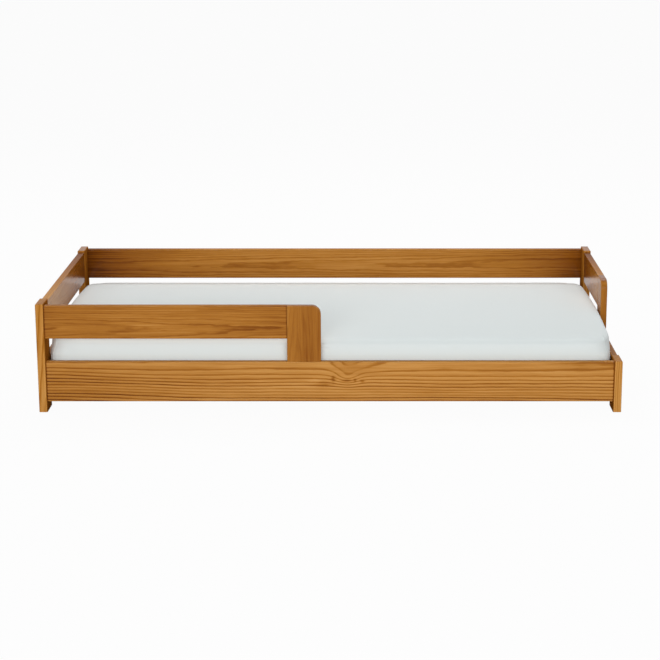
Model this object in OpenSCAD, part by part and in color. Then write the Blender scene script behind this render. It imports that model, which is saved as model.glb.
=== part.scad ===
// Low junior bed in varnished solid pine. Three tall posts and one low post carry a rail on every
// side. A guard closes the left part of the front, and the entry is open at the front right.
// X runs along the bed, Y from its front to its back, and Z up from the floor.

/* [Mattress] */
// Length of the mattress
mattress_l = 1500; // [1300:10:1900]
// Width of the mattress
mattress_w = 700; // [600:10:900]
// Height of the mattress at its edges
mattress_h = 111; // [90:1:135]
// Rise of the top from the long edges to the middle
mattress_crown = 14; // [4:1:20]
// Radius of the corners, seen from above
mattress_corner = 60; // [45:5:120]
// Reach of the rolled top and bottom edges, in from the sides
mattress_roll = 26; // [12:1:35]
// Height of the rolled top and bottom edges
mattress_roll_h = 18; // [10:1:30]
// Outward swell of the two ends at their middle
mattress_swell = 5; // [0:0.5:5]
// Gap between the mattress and the boards beside it
mattress_gap = 5; // [4.5:0.5:12]
// Gap that keeps the mattress clear of the slats
rest_gap = 0.3; // [0.2:0.1:0.6]

/* [Posts] */
// Thickness of a post, along the bed
post_t = 22; // [20:1:36]
// Width of a post, across the bed
post_w = 70; // [60:1:100]
// Height of the three tall posts
post_h = 296; // [286:1:360]
// Radius of the rounded edges of all boards
edge_r = 3; // [1:0.5:4]

/* [Rails] */
// Thickness of the rails and stiles
rail_t = 18; // [17:1:20]
// Height of the upper rails
upper_rail_h = 90; // [80:1:110]
// Height of the low rails
low_rail_h = 110; // [100:1:130]
// Space between the floor and the low rails
foot_h = 28; // [10:1:40]
// Distance of the upper rails under the tops of the tall posts
post_rise = 5; // [0:1:20]
// Distance of the front low rail under the top of the low post
low_post_rise = 2; // [0:1:15]
// Distance of the end low rails' tops under the front low rail's
end_rail_drop = 2; // [0:1:15]
// Setback of the long rails behind the posts' outer edges
rail_setback = 5; // [0:1:12]

/* [Guard and entry] */
// Length of the guard, rail and stile together
guard_l = 731; // [500:1:1100]
// Width of the guard's stile
guard_stile_w = 90; // [70:1:140]
// Radius of the guard's top corner
guard_corner = 25; // [10:1:45]
// Width of the open entry at the right end
side_entry_w = 237; // [150:1:320]
// Width of the stile at the right end
end_stile_w = 70; // [60:1:120]
// Radius of that stile's top corner
end_corner = 28; // [10:1:45]

/* [Slat base] */
// Number of slats
slat_n = 13; // [9:1:15]
// Width of a slat
slat_w = 65; // [45:1:75]
// Thickness of a slat
slat_t = 15; // [12:1:20]
// Height of the slats' tops over the floor
slat_top = 82; // [78:1:100]
// Distance from the inner ends of the bed to the first and last slat
slat_margin = 55; // [52:1:80]
// Gap between a slat's end and the rail beside it
slat_end_gap = 2; // [0.5:0.5:5]
// Thickness of a ledger strip, out from its rail
ledger_t = 20; // [18:1:30]
// Height of a ledger strip
ledger_h = 25; // [20:1:30]
// Distance from the inner ends of the bed to the ends of a ledger
ledger_margin = 50; // [45:1:52]
// Number of screws in a ledger
ledger_screw_n = 6; // [3:1:8]

/* [Fasteners] */
// Diameter of a bolt's shank
bolt_d = 6; // [5:0.5:8]
// Diameter of a bolt's head
bolt_head_d = 12; // [11:0.5:15]
// Height of a bolt's head
bolt_head_h = 4; // [3:0.5:6]
// Depth of the recess that a bolt's head sits in
bolt_sink = 6; // [6:0.5:9]
// Width across the flats of a bolt's hexagon socket
bolt_key = 4; // [3:0.5:5]
// Distance from a rail's edge to the bolt next to it
bolt_edge = 25; // [15:1:32]
// Diameter of a barrel nut
nut_d = 10; // [10:0.5:12]
// Length of a barrel nut
nut_l = 13; // [12:0.5:14]
// Distance from a rail's end to the middle of its barrel nuts
nut_inset = 30; // [25:1:38]
// Diameter of a dowel
dowel_d = 8; // [6:0.5:10]
// Length of a dowel
dowel_l = 40; // [30:1:60]
// Distance from a board's edge to the dowel next to it
dowel_edge = 22; // [14:1:28]
// Diameter of a wood screw
screw_d = 4; // [3:0.5:5]
// Diameter of a wood screw's countersunk head
screw_head_d = 8; // [7:0.5:9]
// Depth to which a wood screw reaches into the second board
screw_bite = 13; // [8:1:14]
// Clearance all round a bolt, nut, dowel or screw in its hole
hole_gap = 0.1; // [0.05:0.05:0.3]

/* [Hidden] */

// Colours
pine = [0.69, 0.46, 0.23];
pale_pine = [0.84, 0.68, 0.47];
linen = [0.90, 0.92, 0.91];
zinc = [0.72, 0.73, 0.75];
beech = [0.80, 0.65, 0.45];

// Sides of the bed: left and right along X, front and back along Y
left = -1;
right = 1;
front = -1;
back = 1;

// Inner space and whole size
inner_l = mattress_l + 2 * mattress_gap;
inner_w = mattress_w + 2 * mattress_gap;
bed_l = inner_l + 2 * post_t;
bed_w = inner_w + 2 * (rail_t + rail_setback);

// Middle planes of the posts and rails
post_x = inner_l / 2 + post_t / 2;
post_y = bed_w / 2 - post_w / 2;
long_rail_y = inner_w / 2 + rail_t / 2;
post_in_y = bed_w / 2 - post_w;

// Heights of the rails
low_z0 = foot_h;
low_z1 = foot_h + low_rail_h;
end_low_z1 = low_z1 - end_rail_drop;
upper_z1 = post_h - post_rise;
upper_z0 = upper_z1 - upper_rail_h;
low_post_h = low_z1 + low_post_rise;

// Guard and end stile
guard_x1 = guard_l - inner_l / 2;
guard_x0 = guard_x1 - guard_stile_w;
end_stile_y0 = side_entry_w - post_in_y;
end_stile_y1 = end_stile_y0 + end_stile_w;

// Slat base
slat_z0 = slat_top - slat_t;
ledger_z0 = slat_z0 - ledger_h;
ledger_l = inner_l - 2 * ledger_margin;
ledger_y = inner_w / 2 - ledger_t / 2;
slat_l = inner_w - 2 * slat_end_gap;
slat_pitch = (inner_l - 2 * slat_margin - slat_w) / (slat_n - 1);

// Heights and places of the fasteners
low_bolt_z = [low_z0 + bolt_edge, low_z1 - bolt_edge];
upper_bolt_z = [upper_z0 + bolt_edge, upper_z1 - bolt_edge];
low_dowel_z = [low_z0 + dowel_edge, end_low_z1 - dowel_edge];
upper_dowel_z = [upper_z0 + dowel_edge, upper_z1 - dowel_edge];
guard_dowel_x = [guard_x0 + dowel_edge, guard_x1 - dowel_edge];
end_dowel_y = [end_stile_y0 + dowel_edge, end_stile_y1 - dowel_edge];

// A bolt reaches through its nut and stops flush with the far side
bolt_l = post_t - bolt_sink + nut_inset + nut_d / 2;
bolt_hole_l = bolt_l + 2;
nut_recess = 0.5;
nut_slot_w = 1.2;
nut_slot_depth = 1;
socket_depth = bolt_head_h * 0.6;
dowel_hole_l = dowel_l / 2 + 1;
dowel_chamfer = 1;
screw_head_h = (screw_head_d - screw_d) / 2;
screw_tip = 3;
head_recess = 0.3;

// A cut runs this far past the surface that it opens
past = 1;

// Smoothness of round stretches
edge_fn = 24;
corner_fn = 64;
hole_fn = 32;

// Places of the slats and of the ledger screws between them
function slat_x(i) = (i - (slat_n + 1) / 2) * slat_pitch;
function gap_of(k) = 1 + round(k * (slat_n - 2) / (ledger_screw_n - 1));
function ledger_screw_x(k) = slat_x(gap_of(k) + 0.5);

// Board shapes

// Rectangle about the origin with its four corners rounded
module round_rect(w, d, r) {
    square([w - 2 * r, d], center = true);
    square([w, d - 2 * r], center = true);
    for (x = [-1, 1], y = [-1, 1])
        translate([x * (w / 2 - r), y * (d / 2 - r)])
            circle(r = r, $fn = edge_fn);
}

// Thickness profile that runs out to reach, with its two outer corners rounded
module edge_profile(reach, t, r) {
    translate([0, -t / 2])
        square([reach - r, t]);
    translate([0, -t / 2 + r])
        square([reach, t - 2 * r]);
    for (y = [-1, 1])
        translate([reach - r, y * (t / 2 - r)])
            circle(r = r, $fn = edge_fn);
}

// Upright rectangle from the floor up with its two top corners rounded
module top_rounded(w, h, r) {
    translate([-w / 2, 0])
        square([w, h - r]);
    translate([-w / 2 + r, 0])
        square([w - 2 * r, h]);
    for (x = [-1, 1])
        translate([x * (w / 2 - r), h - r])
            circle(r = r, $fn = edge_fn);
}

// Board along X, about the origin, with its four long edges rounded
module board_x(l, d, h) {
    rotate([90, 0, 90])
        linear_extrude(height = l, center = true)
            round_rect(d, h, edge_r);
}

// The same board along Y
module board_y(l, d, h) {
    rotate([0, 0, 90])
        board_x(l, d, h);
}

// Standing board with one large rounded corner, at the top on its +X side. Its edge profile is
// carried round that corner. The origin is at the bottom of its -X edge, in its middle plane.
module corner_board(w, h, t, corner) {
    intersection() {
        union() {
            translate([w - corner, 0, h - corner])
                rotate([90, 0, 0])
                    rotate_extrude(angle = 90, $fn = corner_fn)
                        edge_profile(corner, t, edge_r);
            translate([0, 0, h - corner])
                rotate([0, -90, 180])
                    linear_extrude(height = w - corner)
                        edge_profile(corner, t, edge_r);
            linear_extrude(height = h - corner)
                edge_profile(w, t, edge_r);
        }
        mirror([1, 0, 0])
            translate([-w - past, 0, 0])
                linear_extrude(height = h + past)
                    edge_profile(w + past, t, edge_r);
    }
}

// Holes and fasteners

// Round hole along X towards +X
module hole_x(d, l) {
    rotate([0, 90, 0])
        cylinder(d = d, h = l, $fn = hole_fn);
}

// Holes in the post and in the end of the rail for one bolt, seen from the right end of the bed
module bolt_hole() {
    translate([bed_l / 2 + past, 0, 0])
        mirror([1, 0, 0])
            hole_x(bolt_head_d + 2 * hole_gap + 0.5, bolt_sink + past);
    translate([bed_l / 2 - bolt_sink + past, 0, 0])
        mirror([1, 0, 0])
            hole_x(bolt_d + 1, bolt_hole_l + past);
}

// Every bolt site of one long side: side of the bed, heights and ends
module bolt_sites(side, heights, ends) {
    for (end = ends, z = heights)
        translate([0, side * long_rail_y, z])
            mirror([end == left ? 1 : 0, 0, 0])
                children();
}

// Blind holes for the barrel nuts, drilled from a long rail's rear face, out of sight from the front
module nut_holes(side, heights, ends) {
    for (end = ends, z = heights)
        translate([end * (inner_l / 2 - nut_inset), side * long_rail_y + rail_t / 2 + past, z])
            rotate([90, 0, 0])
                cylinder(d = nut_d + 2 * hole_gap, h = nut_l + nut_recess + 1 + past, $fn = hole_fn);
}

// Dowel or dowel hole about the origin, along Z
module dowel_hole() {
    cylinder(d = dowel_d + 2 * hole_gap, h = 2 * dowel_hole_l, center = true, $fn = hole_fn);
}

module dowel() {
    translate([0, 0, -dowel_l / 2])
        rotate_extrude($fn = hole_fn)
            polygon([
                [0, 0],
                [dowel_d / 2 - dowel_chamfer, 0],
                [dowel_d / 2, dowel_chamfer],
                [dowel_d / 2, dowel_l - dowel_chamfer],
                [dowel_d / 2 - dowel_chamfer, dowel_l],
                [0, dowel_l]]);
}

// Dowel sites of the end rails, at the posts' inner faces
module end_rail_sites(end, side, heights) {
    for (z = heights)
        translate([end * post_x, side * post_in_y, z])
            rotate([90, 0, 0])
                children();
}

// Dowel sites between the right end stile and the upper rail behind it
module end_stile_side_sites() {
    for (z = upper_dowel_z)
        translate([post_x, end_stile_y1, z])
            rotate([90, 0, 0])
                children();
}

// Dowel sites between the right end stile and the low rail under it
module end_stile_foot_sites() {
    for (y = end_dowel_y)
        translate([post_x, y, end_low_z1])
            children();
}

// Dowel sites between the guard rail and its stile
module guard_side_sites() {
    for (z = upper_dowel_z)
        translate([guard_x0, -long_rail_y, z])
            rotate([0, 90, 0])
                children();
}

// Dowel sites between the guard's stile and the front low rail
module guard_foot_sites() {
    for (x = guard_dowel_x)
        translate([x, -long_rail_y, low_z1])
            children();
}

// Countersunk screw, head up at the origin, through a board of thickness t
module screw(t) {
    reach = t + screw_bite;
    rotate_extrude($fn = hole_fn)
        polygon([
            [0, -head_recess],
            [screw_head_d / 2, -head_recess],
            [screw_d / 2, -head_recess - screw_head_h],
            [screw_d / 2, screw_tip - reach],
            [0, -reach]]);
}

// Hole for that screw through the first board and on into the second
module screw_hole(t) {
    wide = screw_head_d / 2 + hole_gap;
    thin = screw_d / 2 + hole_gap;
    rotate_extrude($fn = hole_fn)
        polygon([
            [0, past],
            [wide, past],
            [wide, -head_recess],
            [thin, -head_recess - screw_head_h],
            [thin, -t - screw_bite - past],
            [0, -t - screw_bite - past]]);
}

// Slat screw sites, on the slats' tops over both ledgers
module slat_screw_sites(slats, sides) {
    for (i = slats, side = sides)
        translate([slat_x(i), side * ledger_y, slat_top])
            children();
}

// Ledger screw sites, on a ledger's inner face
module ledger_screw_sites(side) {
    for (k = [0:ledger_screw_n - 1])
        translate([ledger_screw_x(k), side * (inner_w / 2 - ledger_t), ledger_z0 + ledger_h / 2])
            rotate([side * 90, 0, 0])
                children();
}

// Posts

module post(end, side, h) {
    color(pine)
        difference() {
            translate([end * post_x, side * post_y, 0])
                intersection() {
                    linear_extrude(height = h)
                        round_rect(post_t, post_w, edge_r);
                    rotate([90, 0, 0])
                        linear_extrude(height = post_w, center = true)
                            top_rounded(post_t, h, edge_r);
                    rotate([90, 0, 90])
                        linear_extrude(height = post_t, center = true)
                            top_rounded(post_w, h, edge_r);
                }
            children();
        }
}

module post_front_left() {
    post(left, front, post_h) {
        bolt_sites(front, low_bolt_z, [left]) bolt_hole();
        bolt_sites(front, upper_bolt_z, [left]) bolt_hole();
        end_rail_sites(left, front, low_dowel_z) dowel_hole();
        end_rail_sites(left, front, upper_dowel_z) dowel_hole();
    }
}

module post_back_left() {
    post(left, back, post_h) {
        bolt_sites(back, low_bolt_z, [left]) bolt_hole();
        bolt_sites(back, upper_bolt_z, [left]) bolt_hole();
        end_rail_sites(left, back, low_dowel_z) dowel_hole();
        end_rail_sites(left, back, upper_dowel_z) dowel_hole();
    }
}

module post_back_right() {
    post(right, back, post_h) {
        bolt_sites(back, low_bolt_z, [right]) bolt_hole();
        bolt_sites(back, upper_bolt_z, [right]) bolt_hole();
        end_rail_sites(right, back, low_dowel_z) dowel_hole();
        end_rail_sites(right, back, upper_dowel_z) dowel_hole();
    }
}

module post_front_right() {
    post(right, front, low_post_h) {
        bolt_sites(front, low_bolt_z, [right]) bolt_hole();
        end_rail_sites(right, front, low_dowel_z) dowel_hole();
    }
}

// Long rails

module front_low_rail() {
    color(pine)
        difference() {
            translate([0, -long_rail_y, (low_z0 + low_z1) / 2])
                board_x(inner_l, rail_t, low_rail_h);
            bolt_sites(front, low_bolt_z, [left, right]) bolt_hole();
            nut_holes(front, low_bolt_z, [left, right]);
            guard_foot_sites() dowel_hole();
            ledger_screw_sites(front) screw_hole(ledger_t);
        }
}

module guard_rail() {
    rail_l = guard_l - guard_stile_w;
    color(pine)
        difference() {
            translate([guard_x0 - rail_l / 2, -long_rail_y, (upper_z0 + upper_z1) / 2])
                board_x(rail_l, rail_t, upper_rail_h);
            bolt_sites(front, upper_bolt_z, [left]) bolt_hole();
            nut_holes(front, upper_bolt_z, [left]);
            guard_side_sites() dowel_hole();
        }
}

module guard_stile() {
    color(pine)
        difference() {
            translate([guard_x0, -long_rail_y, low_z1])
                corner_board(guard_stile_w, upper_z1 - low_z1, rail_t, guard_corner);
            guard_side_sites() dowel_hole();
            guard_foot_sites() dowel_hole();
        }
}

module back_upper_rail() {
    color(pine)
        difference() {
            translate([0, long_rail_y, (upper_z0 + upper_z1) / 2])
                board_x(inner_l, rail_t, upper_rail_h);
            bolt_sites(back, upper_bolt_z, [left, right]) bolt_hole();
            nut_holes(back, upper_bolt_z, [left, right]);
        }
}

module back_low_rail() {
    color(pine)
        difference() {
            translate([0, long_rail_y, (low_z0 + low_z1) / 2])
                board_x(inner_l, rail_t, low_rail_h);
            bolt_sites(back, low_bolt_z, [left, right]) bolt_hole();
            nut_holes(back, low_bolt_z, [left, right]);
            ledger_screw_sites(back) screw_hole(ledger_t);
        }
}

// End rails

module end_low_rail(end) {
    translate([end * post_x, 0, (low_z0 + end_low_z1) / 2])
        board_y(2 * post_in_y, rail_t, end_low_z1 - low_z0);
}

module left_end_upper_rail() {
    color(pine)
        difference() {
            translate([-post_x, 0, (upper_z0 + upper_z1) / 2])
                board_y(2 * post_in_y, rail_t, upper_rail_h);
            end_rail_sites(left, front, upper_dowel_z) dowel_hole();
            end_rail_sites(left, back, upper_dowel_z) dowel_hole();
        }
}

module left_end_low_rail() {
    color(pine)
        difference() {
            end_low_rail(left);
            end_rail_sites(left, front, low_dowel_z) dowel_hole();
            end_rail_sites(left, back, low_dowel_z) dowel_hole();
        }
}

module right_end_upper_rail() {
    color(pine)
        difference() {
            translate([post_x, (end_stile_y1 + post_in_y) / 2, (upper_z0 + upper_z1) / 2])
                board_y(post_in_y - end_stile_y1, rail_t, upper_rail_h);
            end_rail_sites(right, back, upper_dowel_z) dowel_hole();
            end_stile_side_sites() dowel_hole();
        }
}

module right_end_low_rail() {
    color(pine)
        difference() {
            end_low_rail(right);
            end_rail_sites(right, front, low_dowel_z) dowel_hole();
            end_rail_sites(right, back, low_dowel_z) dowel_hole();
            end_stile_foot_sites() dowel_hole();
        }
}

module right_end_stile() {
    color(pine)
        difference() {
            translate([post_x, end_stile_y1, end_low_z1])
                rotate([0, 0, -90])
                    corner_board(end_stile_w, upper_z1 - end_low_z1, rail_t, end_corner);
            end_stile_side_sites() dowel_hole();
            end_stile_foot_sites() dowel_hole();
        }
}

// Slat base

module ledger(side) {
    color(pale_pine)
        difference() {
            translate([0, side * ledger_y, ledger_z0 + ledger_h / 2])
                cube([ledger_l, ledger_t, ledger_h], center = true);
            ledger_screw_sites(side) screw_hole(ledger_t);
            slat_screw_sites([1:slat_n], [side]) screw_hole(slat_t);
        }
}

module slat(i) {
    color(pale_pine)
        difference() {
            translate([slat_x(i), 0, slat_z0 + slat_t / 2])
                rotate([0, 0, 90])
                    board_x(slat_l, slat_w, slat_t);
            slat_screw_sites([i], [front, back]) screw_hole(slat_t);
        }
}

// Fasteners

module rail_bolt() {
    translate([bed_l / 2 - bolt_sink + bolt_head_h, 0, 0])
        rotate([0, -90, 0])
            difference() {
                union() {
                    cylinder(d = bolt_head_d, h = bolt_head_h, $fn = hole_fn);
                    cylinder(d = bolt_d, h = bolt_head_h + bolt_l, $fn = hole_fn);
                }
                translate([0, 0, -past])
                    cylinder(d = bolt_key / cos(30), h = socket_depth + past, $fn = 6);
            }
}

module rail_bolts() {
    color(zinc) {
        bolt_sites(front, low_bolt_z, [left, right]) rail_bolt();
        bolt_sites(front, upper_bolt_z, [left]) rail_bolt();
        bolt_sites(back, low_bolt_z, [left, right]) rail_bolt();
        bolt_sites(back, upper_bolt_z, [left, right]) rail_bolt();
    }
}

// Barrel nut in its hole, at the right end of a long rail
module barrel_nut() {
    difference() {
        translate([inner_l / 2 - nut_inset, rail_t / 2 - nut_recess, 0])
            rotate([90, 0, 0])
                difference() {
                    cylinder(d = nut_d, h = nut_l, $fn = hole_fn);
                    translate([-nut_d, -nut_slot_w / 2, -past])
                        cube([2 * nut_d, nut_slot_w, nut_slot_depth + past]);
                }
        translate([inner_l / 2 - nut_inset - nut_d, 0, 0])
            hole_x(bolt_d + 2 * hole_gap, 2 * nut_d);
    }
}

module barrel_nuts() {
    color(zinc) {
        bolt_sites(front, low_bolt_z, [left, right]) barrel_nut();
        bolt_sites(front, upper_bolt_z, [left]) barrel_nut();
        bolt_sites(back, low_bolt_z, [left, right]) barrel_nut();
        bolt_sites(back, upper_bolt_z, [left, right]) barrel_nut();
    }
}

module end_rail_dowels() {
    color(beech) {
        end_rail_sites(left, front, concat(low_dowel_z, upper_dowel_z)) dowel();
        end_rail_sites(left, back, concat(low_dowel_z, upper_dowel_z)) dowel();
        end_rail_sites(right, back, concat(low_dowel_z, upper_dowel_z)) dowel();
        end_rail_sites(right, front, low_dowel_z) dowel();
    }
}

module stile_dowels() {
    color(beech) {
        guard_side_sites() dowel();
        guard_foot_sites() dowel();
        end_stile_side_sites() dowel();
        end_stile_foot_sites() dowel();
    }
}

module ledger_screws() {
    color(zinc) {
        ledger_screw_sites(front) screw(ledger_t);
        ledger_screw_sites(back) screw(ledger_t);
    }
}

module slat_screws() {
    color(zinc)
        slat_screw_sites([1:slat_n], [front, back]) screw(slat_t);
}

// Mattress: rings of points, from the bottom's middle over the rolled edges to the crowned top

// Steps of a corner's arc, of a long and a short side, and of a rolled edge
corner_steps = 6;
long_steps = 8;
short_steps = 5;
roll_steps = 4;

half_l = mattress_l / 2;
half_w = mattress_w / 2;
mattress_z0 = slat_top + rest_gap;

// Share of the crown that is lost at the two ends
end_droop = 0.15;

// Scales of the rings inside the edge, on the top
top_rings = [0.86, 0.62, 0.36, 0.14];

// Outline of the mattress from above, drawn in by inset: corner arcs and the sides between them
function arc_points(sx, sy, a0, inset) = [
    for (k = [0:corner_steps])
        let (a = a0 + 90 * k / corner_steps, r = mattress_corner - inset)
            [sx * (half_l - mattress_corner) + r * cos(a), sy * (half_w - mattress_corner) + r * sin(a)]];
function between(p, q, steps) = [for (k = [1:steps - 1]) p + (q - p) * k / steps];
function last(list) = list[len(list) - 1];
function plain_outline(inset) =
    let (c1 = arc_points(1, 1, 0, inset), c2 = arc_points(-1, 1, 90, inset),
         c3 = arc_points(-1, -1, 180, inset), c4 = arc_points(1, -1, 270, inset))
        concat(c1, between(last(c1), c2[0], long_steps), c2, between(last(c2), c3[0], short_steps),
               c3, between(last(c3), c4[0], long_steps), c4, between(last(c4), c1[0], short_steps));

// Each end swells outwards towards its middle
function swell(p) = [p[0] + sign(p[0]) * mattress_swell * pow(abs(p[0]) / half_l, 4)
                     * (1 - pow(p[1] / half_w, 2)), p[1]];
function crown_at(p) = mattress_crown * (1 - pow(min(1, abs(p[1]) / half_w), 1.6))
                       * (1 - end_droop * pow(min(1, abs(p[0]) / half_l), 4));

// One ring on the bottom roll, on the top roll and on the crowned top
function bottom_ring(a) = [for (p = plain_outline(mattress_roll * (1 - sin(a))))
    let (q = swell(p)) [q[0], q[1], mattress_z0 + mattress_roll_h * (1 - cos(a))]];
function top_ring(a) = [for (p = plain_outline(mattress_roll * (1 - cos(a))))
    let (q = swell(p))
        [q[0], q[1], mattress_z0 + mattress_h + crown_at(q) - mattress_roll_h * (1 - sin(a))]];
function crown_ring(s) = [for (p = plain_outline(mattress_roll))
    let (q = s * p) [q[0], q[1], mattress_z0 + mattress_h + crown_at(q)]];

module mattress() {
    rings = concat(
        [for (k = [0:roll_steps]) bottom_ring(90 * k / roll_steps)],
        [for (k = [0:roll_steps]) top_ring(90 * k / roll_steps)],
        [for (s = top_rings) crown_ring(s)]);
    count = len(rings[0]);
    under = [0, 0, mattress_z0];
    over = [0, 0, mattress_z0 + mattress_h + mattress_crown];
    points = concat([for (ring = rings, p = ring) p], [under, over]);
    first_top = (len(rings) - 1) * count;
    sides = [
        for (j = [0:len(rings) - 2], i = [0:count - 1], half = [0, 1])
            let (a = j * count + i, b = j * count + (i + 1) % count)
                half == 0 ? [a, a + count, b] : [b, a + count, b + count]];
    bottom_fan = [for (i = [0:count - 1]) [len(points) - 2, i, (i + 1) % count]];
    top_fan = [
        for (i = [0:count - 1])
            [len(points) - 1, first_top + (i + 1) % count, first_top + i]];
    color(linen)
        polyhedron(points = points, faces = concat(sides, bottom_fan, top_fan));
}

post_front_left();
post_back_left();
post_back_right();
post_front_right();
front_low_rail();
guard_rail();
guard_stile();
back_upper_rail();
back_low_rail();
left_end_upper_rail();
left_end_low_rail();
right_end_upper_rail();
right_end_low_rail();
right_end_stile();
ledger(front);  // front_ledger
ledger(back);  // back_ledger
for (i = [1:slat_n])
    slat(i);
mattress();
rail_bolts();
barrel_nuts();
end_rail_dowels();
stile_dowels();
ledger_screws();
slat_screws();
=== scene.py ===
"""Junior bed: varnished pine boards, bare pine slats and a loose mattress in a white fitted sheet."""
from dataclasses import dataclass
from math import atan2, copysign, cos, exp, hypot, pi, radians, sin, sqrt

import bmesh
import bpy
from mathutils import Matrix, Vector
from mathutils.bvhtree import BVHTree


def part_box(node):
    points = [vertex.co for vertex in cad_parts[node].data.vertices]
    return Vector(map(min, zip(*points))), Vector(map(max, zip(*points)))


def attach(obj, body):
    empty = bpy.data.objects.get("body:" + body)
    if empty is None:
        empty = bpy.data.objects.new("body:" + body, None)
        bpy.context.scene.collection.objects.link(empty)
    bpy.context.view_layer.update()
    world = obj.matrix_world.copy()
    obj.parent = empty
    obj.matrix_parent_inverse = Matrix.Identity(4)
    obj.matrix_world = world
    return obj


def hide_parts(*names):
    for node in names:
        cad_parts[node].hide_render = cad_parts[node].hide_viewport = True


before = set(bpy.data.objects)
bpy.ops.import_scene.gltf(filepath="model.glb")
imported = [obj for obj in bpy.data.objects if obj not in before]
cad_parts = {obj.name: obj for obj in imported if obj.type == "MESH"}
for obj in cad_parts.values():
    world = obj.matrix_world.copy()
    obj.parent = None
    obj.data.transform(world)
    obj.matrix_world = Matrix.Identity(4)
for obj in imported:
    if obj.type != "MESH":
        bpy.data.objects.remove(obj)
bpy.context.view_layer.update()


# Node trees

def maths(operation, flipped=False):
    """A method that adds a Math node for a wire and the other values it is given."""
    def method(wire, *others):
        values = (*others, wire) if flipped else (wire, *others)
        return wire.net.add("ShaderNodeMath", dict(enumerate(values)), operation=operation)
    return method


class Wire:
    """One output of a node. Sums written with it add the Math nodes that work them out."""

    def __init__(self, net, socket):
        self.net, self.socket = net, socket

    __add__ = __radd__ = maths("ADD")
    __sub__ = maths("SUBTRACT")
    __rsub__ = maths("SUBTRACT", flipped=True)
    __mul__ = __rmul__ = maths("MULTIPLY")
    floor = maths("FLOOR")
    fraction = maths("FRACT")
    size = maths("ABSOLUTE")
    wave = maths("SINE")
    root = maths("SQRT")
    most = maths("MAXIMUM")
    power_of_e = maths("EXPONENT")

    def __neg__(self):
        return self * -1.0

    def hill(self):
        """1 where the value, a squared distance, is 0, and smoothly less further out."""
        return (-self).power_of_e()

    def rise(self, low, high):
        """0 below low and 1 above high, with a smooth step between them."""
        return self.net.add("ShaderNodeMapRange", {"Value": self, "From Min": low, "From Max": high},
                            interpolation_type="SMOOTHSTEP")


class Net:
    """A node tree, with one call for each node. owner is the material that it belongs to."""

    def __init__(self, tree, owner=None):
        self.tree, self.owner = tree, owner
        tree.nodes.clear()

    def add(self, kind, inputs=None, out=0, **settings):
        """A node with its settings, such as an operation or a ramp's stops, and then its sockets."""
        node = self.tree.nodes.new(kind)
        for name, value in settings.items():
            if name == "stops":
                self.set_stops(node.color_ramp, value)
            else:
                setattr(node, name, value)
        for name, value in (inputs or {}).items():
            socket = node.inputs[name]
            if isinstance(value, Wire):
                self.tree.links.new(value.socket, socket)
            else:
                socket.default_value = (*value, 1.0) if socket.type == "RGBA" else value
        return Wire(self, node.outputs[out]) if node.outputs else node

    @staticmethod
    def set_stops(ramp, stops):
        while len(ramp.elements) < len(stops):
            ramp.elements.new(0.5)
        for element, (place, colour) in zip(ramp.elements, stops):
            element.position, element.color = place, (*colour, 1.0)

    def colours(self, value, stops):
        """A value's colour on a ramp, whose stops are places and colours."""
        return self.add("ShaderNodeValToRGB", {0: value}, stops=stops)

    def place(self):
        """The three Object coordinates, in metres in the bed's own frame."""
        return self.split(self.add("ShaderNodeTexCoord", out="Object"))

    def split(self, vector):
        """A vector's three parts."""
        first = self.add("ShaderNodeSeparateXYZ", {0: vector})
        return [Wire(self, part) for part in first.socket.node.outputs]

    def vector(self, x, y, z):
        return self.add("ShaderNodeCombineXYZ", {0: x, 1: y, 2: z})

    def mix(self, factor, a, b):
        """Two colours mixed."""
        return self.add("ShaderNodeMix", {0: factor, 6: a, 7: b}, out=2, data_type="RGBA")

    def noise(self, spot, detail=1.0, rough=0.5):
        return self.add("ShaderNodeTexNoise",
                        {"Vector": spot, "Scale": 1.0, "Detail": detail, "Roughness": rough})

    def speckle(self, per_metre, detail):
        """Noise with so many features per metre along each of the bed's axes."""
        parts = [part * count for part, count in zip(self.place(), per_metre)]
        return self.noise(self.vector(*parts), detail)

    def bump(self, height, distance, strength):
        return self.add("ShaderNodeBump", {"Height": height, "Distance": distance, "Strength": strength})


def new_material(name):
    """The node tree of a new material."""
    material = bpy.data.materials.new(name)
    material.use_nodes = True
    return Net(material.node_tree, material)


def finish_with(net, **sockets):
    """Closes a material with a Principled shader, and returns it. A name's underscores are spaces."""
    shader = net.add("ShaderNodeBsdfPrincipled",
                     {name.replace("_", " "): value for name, value in sockets.items()})
    net.add("ShaderNodeOutputMaterial", {"Surface": shader})
    return net.owner


def linked(name, data):
    thing = bpy.data.objects.new(name, data)
    bpy.context.scene.collection.objects.link(thing)
    return thing


def mesh_of(name, points, faces=(), places=()):
    """A mesh. places are the faces' corners, one after another, on the piece's own coordinates."""
    mesh = bpy.data.meshes.new(name)
    mesh.from_pydata(points, [], faces)
    if places:
        layer = mesh.uv_layers.new(name="cloth")
        for corner, place in zip(layer.data, places):
            corner.uv = place
    return mesh


def written(form, mesh):
    form.to_mesh(mesh)
    form.free()
    return mesh


def settle(thing, sharp=180):
    """Works the modifiers into the mesh, shaded smooth but for edges sharper than so many degrees."""
    baked = bpy.data.meshes.new_from_object(thing.evaluated_get(bpy.context.evaluated_depsgraph_get()))
    thing.modifiers.clear()
    thing.data = baked
    baked.shade_smooth()
    baked.set_sharp_from_angle(angle=radians(sharp))


def node_group(name, sockets):
    """An empty Geometry Nodes tree, and wires from its inputs."""
    tree = bpy.data.node_groups.new(name, "GeometryNodeTree")
    net = Net(tree)
    for socket, kind in sockets.items():
        tree.interface.new_socket(socket, in_out="INPUT", socket_type="NodeSocket" + kind)
    tree.interface.new_socket("Result", in_out="OUTPUT", socket_type="NodeSocketGeometry")
    return net, [net.add("NodeGroupInput", out=i) for i in range(len(sockets))]


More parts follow.
